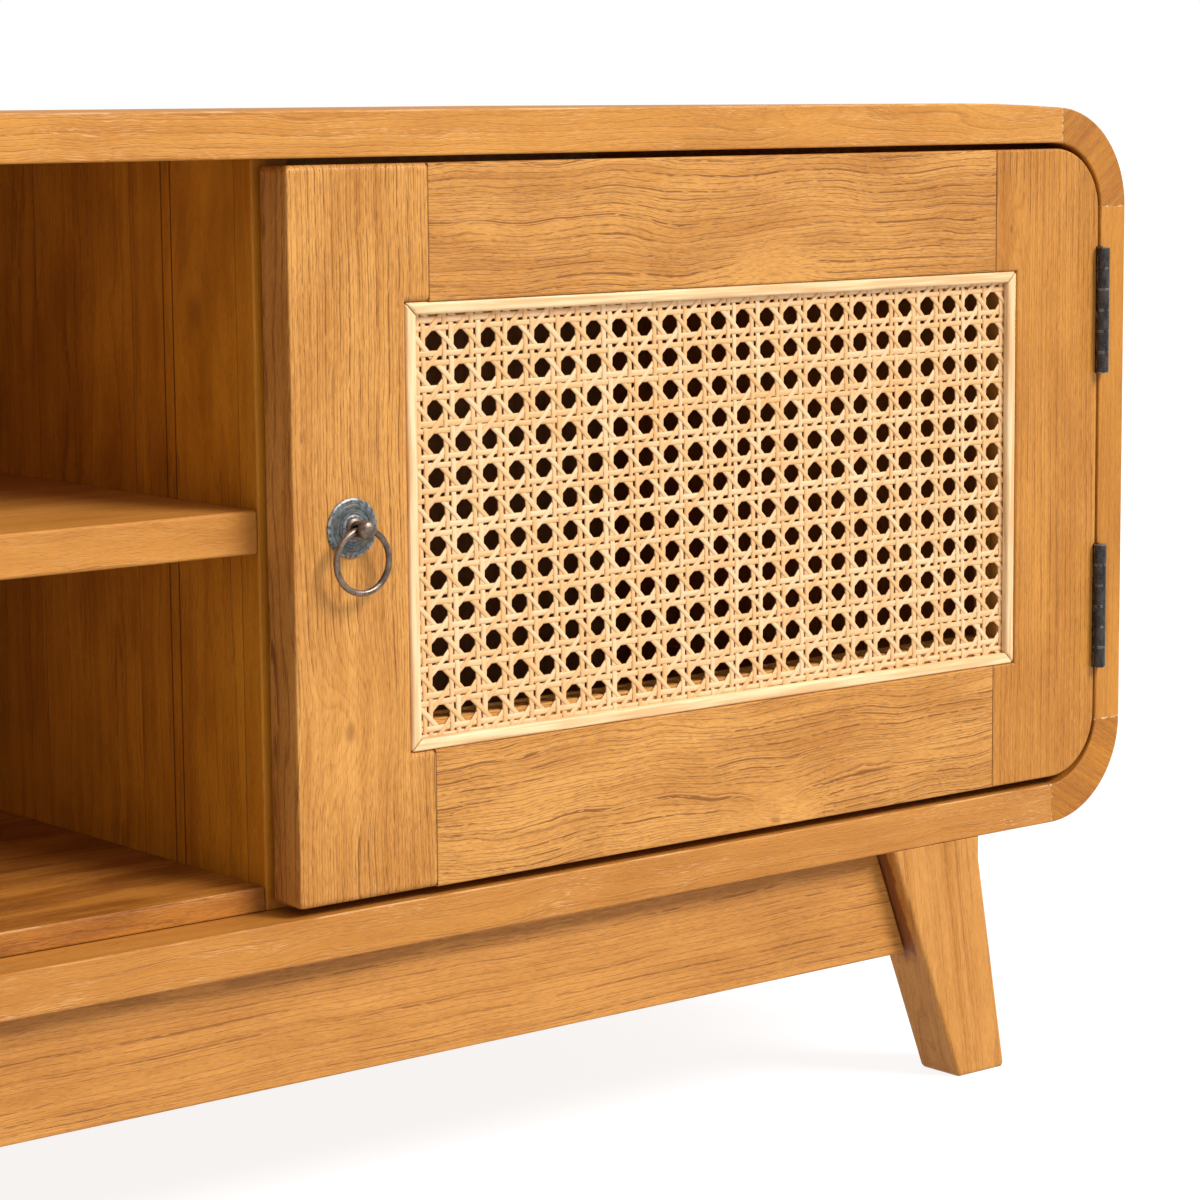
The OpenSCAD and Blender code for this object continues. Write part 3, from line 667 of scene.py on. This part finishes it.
# each family of strands is laid over more than the panel; the first hole is the grid's origin
families = []
for place, lift in ((-pair_half / pitch, weave_lift), (pair_half / pitch, -weave_lift)):
    level = row_of(strand("level", strand_w, crossing(lift), columns), rows, -pitch)
    families.append(laid(level, 0, -2, 1.5 + place))
    upright = row_of(strand("upright", strand_w, crossing(lift), rows), columns, pitch)
    families.append(laid(upright, 90, -1.5 + place, 2))
slant_step = pitch * math.sqrt(2)
slants, slant_repeats = 21, 20
for angle, column, level, nudge, step in ((45, -8.5, -6, 1, slant_step), (-45, -8, -5.5, -1, -slant_step)):
    for shift in (0, nudge):
        slant = row_of(strand("slant", slant_w, slanting(slant_lift), slant_repeats), slants, step)
        families.append(laid(slant, angle, column, level + shift))
bpy.ops.object.select_all(action="DESELECT")
for piece in families:
    piece.select_set(True)
bpy.context.view_layer.objects.active = families[0]
bpy.ops.object.join()
weave = bpy.context.object
low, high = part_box("cane_right")
corner = Vector((low.x, (low.y + high.y) / 2, high.z)) + first_hole
weave.data.transform(Matrix.Translation(corner) @ Matrix.Rotation(-cane_tilt, 4, "Y"))
choose(weave)
bpy.ops.object.mode_set(mode="EDIT")
for place, normal in ((low, (-1, 0, 0)), (high, (1, 0, 0)), (low, (0, 0, -1)), (high, (0, 0, 1))):
    bpy.ops.mesh.select_all(action="SELECT")
    bpy.ops.mesh.bisect(plane_co=place, plane_no=normal, clear_outer=True, use_fill=True)
bpy.ops.object.mode_set(mode="OBJECT")
bpy.ops.object.shade_smooth_by_angle(angle=math.radians(70))
rattan_strands = cane_material()
for side in ("right", "left"):
    panel = weave
    if side == "left":
        panel = weave.copy()
        panel.data = weave.data.copy()
        bpy.context.scene.collection.objects.link(panel)
        panel.data.transform(Matrix.Scale(-1, 4, (1, 0, 0)))
        panel.data.flip_normals()
    panel.name = "woven_cane_" + side
    clad(panel, rattan_strands)
    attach(panel, "door_" + side)
    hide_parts("cane_" + side)

# ---- Beads ----
# Half-round strips of the same rattan cover the edge of the cane. They are mitred at the
# corners, where the joint shows as a dark line.
def blend(tree, amount, first, second):
    return wire(tree, "ShaderNodeMix", {0: amount, 2: first, 3: second}).outputs[0]


for side in ("left", "right"):
    node = "bead_" + side
    low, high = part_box(node)
    centre, half = (low + high) / 2 / MM, (high - low) / 2 / MM
    material, tree, shader, place = finish("rattan_" + node)
    away = reckon_vector(tree, "ABSOLUTE", reckon_vector(tree, "SUBTRACT", place, centre))
    away = reckon_vector(tree, "SUBTRACT", away, half)
    mitre = reckon(tree, "SUBTRACT", part_of(tree, away, "X"), part_of(tree, away, "Z"))
    upright = reckon(tree, "GREATER_THAN", mitre, 0)
    figures = []
    for level_sizes, upright_sizes in (((22, 0.5, 0.35), (0.35, 0.5, 22)), ((50, 4, 2.2), (2.2, 4, 50))):
        level, up = cloud(tree, place, level_sizes, 2), cloud(tree, place, upright_sizes, 2)
        figures.append(blend(tree, upright, level, up))
    fibre, patch = figures
    colour = blend_colour(tree, rise(tree, patch, 0.36, 0.64), (0.70, 0.42, 0.19, 1), (0.85, 0.60, 0.33, 1))
    colour = blend_colour(tree, rise(tree, fibre, 0.54, 0.72, 0, 0.4), colour, (0.50, 0.26, 0.09, 1))
    line = rise(tree, reckon(tree, "ABSOLUTE", mitre), 0.1, 0.45, 0.7, 0)
    colour = blend_colour(tree, line, colour, (0.16, 0.07, 0.02, 1))
    feed(tree, shader, {"Base Color": colour, "Roughness": rise(tree, patch, 0.3, 0.7, 0.38, 0.5)})
    relief(tree, shader, fibre, 0.10 * MM, 0.7)
    front_rim = low.y + 2 * MM
    behind = [((low.x - 1, front_rim, low.z - 1), (high.x + 1, high.y + 1, high.z + 1))]
    bead = worked(node, "door_" + side, soft=1.5 * MM, segments=4, spare=behind, smooth=40)
    clad(bead, material)

# ---- Hinges ----
# Blackened steel butt hinges with three knuckles on each leaf, let in flush and held by
# countersunk screws. Handling has rubbed the ends of the knuckles bright.
low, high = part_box("frame_leaf_upper_right")
knuckle = (high.z - low.z) / MM / 6
black_steel, tree, shader, place = finish("black_steel")
blotch = cloud(tree, place, (3, 3, 6), 4)
speck = cloud(tree, place, (0.7, 0.7, 0.7), 2)
# the wear depends on how far a place is from the nearest end of a knuckle
height = part_of(tree, place, "Z")
nearest = []
for level in ("lower", "upper"):
    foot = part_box(f"frame_leaf_{level}_right")[0].z / MM
    above = reckon(tree, "ADD", reckon(tree, "SUBTRACT", height, foot), 500 * knuckle)
    above = reckon(tree, "MODULO", above, knuckle)
    nearest.append(reckon(tree, "MINIMUM", above, reckon(tree, "SUBTRACT", knuckle, above)))
hinge_middle = (low.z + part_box("frame_leaf_lower_right")[1].z) / 2 / MM
end = blend(tree, reckon(tree, "GREATER_THAN", height, hinge_middle), nearest[0], nearest[1])
rubbed = reckon(tree, "MULTIPLY", rise(tree, end, 0.15, 0.75, 1, 0), rise(tree, blotch, 0.42, 0.60))
edge = rise(tree, part_of(tree, place, "Y"), front / MM - 2.2, front / MM - 1.6)
wear_and_highlight = reckon(tree, "MULTIPLY", edge, rise(tree, cloud(tree, place, (2, 2, 5), 3), 0.52, 0.62))
colour = blend_colour(tree, rise(tree, blotch, 0.35, 0.65), (0.030, 0.028, 0.028, 1),
                      (0.070, 0.060, 0.055, 1))
colour = blend_colour(tree, rise(tree, speck, 0.62, 0.72, 0, 0.5), colour, (0.25, 0.21, 0.18, 1))
colour = blend_colour(tree, reckon(tree, "MAXIMUM", rubbed, wear_and_highlight), colour, (0.30, 0.285, 0.27, 1))
feed(tree, shader, {"Base Color": colour, "Roughness": rise(tree, blotch, 0.3, 0.7, 0.26, 0.42),
                    "Metallic": 0.75})
relief(tree, shader, speck, 0.05 * MM, 0.5)
hinge_nodes = [f"{leaf}_{level}_{side}" for leaf in ("frame_leaf", "door_leaf")
               for level in ("upper", "lower") for side in ("left", "right")]
hinge_nodes += ["frame_leaf_screws", "door_leaf_screws_left", "door_leaf_screws_right"]
hinge_nodes += ["hinge_pins_left", "hinge_pins_right"]
for node in hinge_nodes:
    clad(frame["nodes"][node], black_steel)

# ---- Ring pulls ----
# A turned brass plate with a blue-grey patina, and a bronze post through the stile with a
# domed head, in whose eye the ring hangs. A nut holds the post inside the door.
def patina_material(side):
    """Dark patina, rubbed down to pale metal on the turned ridges of the plate."""
    material, tree, shader, place = finish("patina_" + side)
    low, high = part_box("pull_plate_" + side)
    centre = (low + high) / 2 / MM
    away = reckon_vector(tree, "SUBTRACT", place, centre)
    radius = reckon_vector(tree, "LENGTH", reckon_vector(tree, "MULTIPLY", away, (1, 0, 1)))
    blotch = cloud(tree, place, (1.6, 1.6, 1.6), 4)
    tarnish = cloud(tree, place, (6, 6, 6), 3)
    outwards = wire(tree, "ShaderNodeCombineXYZ", {0: radius}).outputs[0]
    turning = cloud(tree, outwards, (0.6, 1, 1), 1)
    rim = rise(tree, radius, 11.4, 12.6)
    hub = rise(tree, radius, 5.0, 6.4, 1, 0)
    wear_and_highlight = reckon(tree, "MULTIPLY", reckon(tree, "MAXIMUM", rim, hub), 0.6)
    wear_and_highlight = reckon(tree, "MAXIMUM", wear_and_highlight, rise(tree, turning, 0.55, 0.70, 0, 0.45))
    wear_and_highlight = reckon(tree, "MULTIPLY", wear_and_highlight, rise(tree, blotch, 0.38, 0.60))
    colour = blend_colour(tree, rise(tree, tarnish, 0.38, 0.62), (0.135, 0.165, 0.175, 1),
                          (0.165, 0.150, 0.130, 1))
    colour = blend_colour(tree, rise(tree, blotch, 0.35, 0.60, 0.6, 0), colour, (0.060, 0.050, 0.042, 1))
    colour = blend_colour(tree, rise(tree, turning, 0.30, 0.44, 0.8, 0), colour, (0.055, 0.040, 0.030, 1))
    colour = blend_colour(tree, wear_and_highlight, colour, (0.46, 0.46, 0.44, 1))
    feed(tree, shader, {"Base Color": colour, "Roughness": rise(tree, blotch, 0.3, 0.7, 0.38, 0.6),
                        "Metallic": 0.7})
    relief(tree, shader, reckon(tree, "MULTIPLY_ADD", blotch, 0.6, turning), 0.16 * MM, 0.9)
    return material


aged_bronze, tree, shader, place = finish("aged_bronze")
blotch = cloud(tree, place, (4, 4, 4), 4)
colour = blend_colour(tree, rise(tree, blotch, 0.35, 0.65), (0.13, 0.095, 0.075, 1),
                      (0.27, 0.20, 0.155, 1))
feed(tree, shader, {"Base Color": colour, "Roughness": rise(tree, blotch, 0.3, 0.7, 0.26, 0.42),
                    "Metallic": 0.9})
relief(tree, shader, cloud(tree, place, (0.8, 0.8, 0.8), 2), 0.05 * MM, 0.6)
for side in ("left", "right"):
    clad(frame["nodes"]["pull_plate_" + side], patina_material(side))
    clad(frame["nodes"]["pull_post_" + side], aged_bronze)
    clad(frame["nodes"]["pull_ring_" + side], aged_bronze)
    clad(frame["nodes"]["pull_nut_" + side], zinc_plate)

# ---- Catches ----
# A moulded brown plastic catch with a magnet sits behind each door, on the divider. It meets a
# zinc-plated steel strike on the back of the door.
catch_plastic, tree, shader, place = finish("catch_plastic")
grain = cloud(tree, place, (0.5, 0.5, 0.5), 2)
colour = blend_colour(tree, grain, (0.075, 0.035, 0.017, 1), (0.13, 0.065, 0.032, 1))
feed(tree, shader, {"Base Color": colour, "Roughness": rise(tree, grain, 0.3, 0.7, 0.45, 0.6)})
relief(tree, shader, grain, 0.08 * MM, 0.5)
for side in ("left", "right"):
    clad(frame["nodes"]["catch_" + side], catch_plastic)
    clad(frame["nodes"]["strike_" + side], zinc_plate)

# ---- Studio ----
# A pale floor without an edge, a broad soft key light from high on the right and in front, and
# a white surround that lights the stand more from that side.
bpy.ops.object.select_all(action="DESELECT")
bpy.ops.mesh.primitive_plane_add(size=60)
floor = bpy.context.object
floor.name = "studio_floor"
material, tree, shader, place = finish("studio_floor")
paper = cloud(tree, place, (900, 900, 900), 1)
colour = blend_colour(tree, paper, (0.22, 0.22, 0.22, 1), (0.24, 0.24, 0.24, 1))
seen = wire(tree, "ShaderNodeLightPath").outputs["Is Camera Ray"]
feed(tree, shader, {"Base Color": colour, "Emission Color": (1, 1, 1, 1), "Roughness": 0.8,
                    "Emission Strength": rise(tree, seen, 0, 1, 0.56, 0.86), "Specular IOR Level": 0.1})
clad(floor, material)
bpy.ops.object.light_add(type="SUN", rotation=[math.radians(angle) for angle in (48, 0, 28)])
key = bpy.context.object
key.data.energy = 3.3
key.data.angle = math.radians(24)
world = bpy.data.worlds.new("studio")
bpy.context.scene.world = world
world.use_nodes = True
tree = world.node_tree
glow = tree.nodes["Background"]
way = wire(tree, "ShaderNodeTexCoord").outputs["Generated"]
towards_key = reckon_vector(tree, "DOT_PRODUCT", way, (0.55, -0.35, 0.75))
strength = rise(tree, towards_key, -0.7, 0.9, 0.36, 0.78)
feed(tree, glow, {"Color": (1, 1, 1, 1), "Strength": strength})
bare = wire(tree, "ShaderNodeBackground", {"Color": (1, 1, 1, 1), "Strength": 1.0})
seen = wire(tree, "ShaderNodeLightPath").outputs["Is Camera Ray"]
mixed = wire(tree, "ShaderNodeMixShader", {0: seen, 1: glow.outputs[0], 2: bare.outputs[0]})
feed(tree, tree.nodes["World Output"], {"Surface": mixed.outputs[0]})
bpy.context.scene.view_settings.view_transform = "Standard"
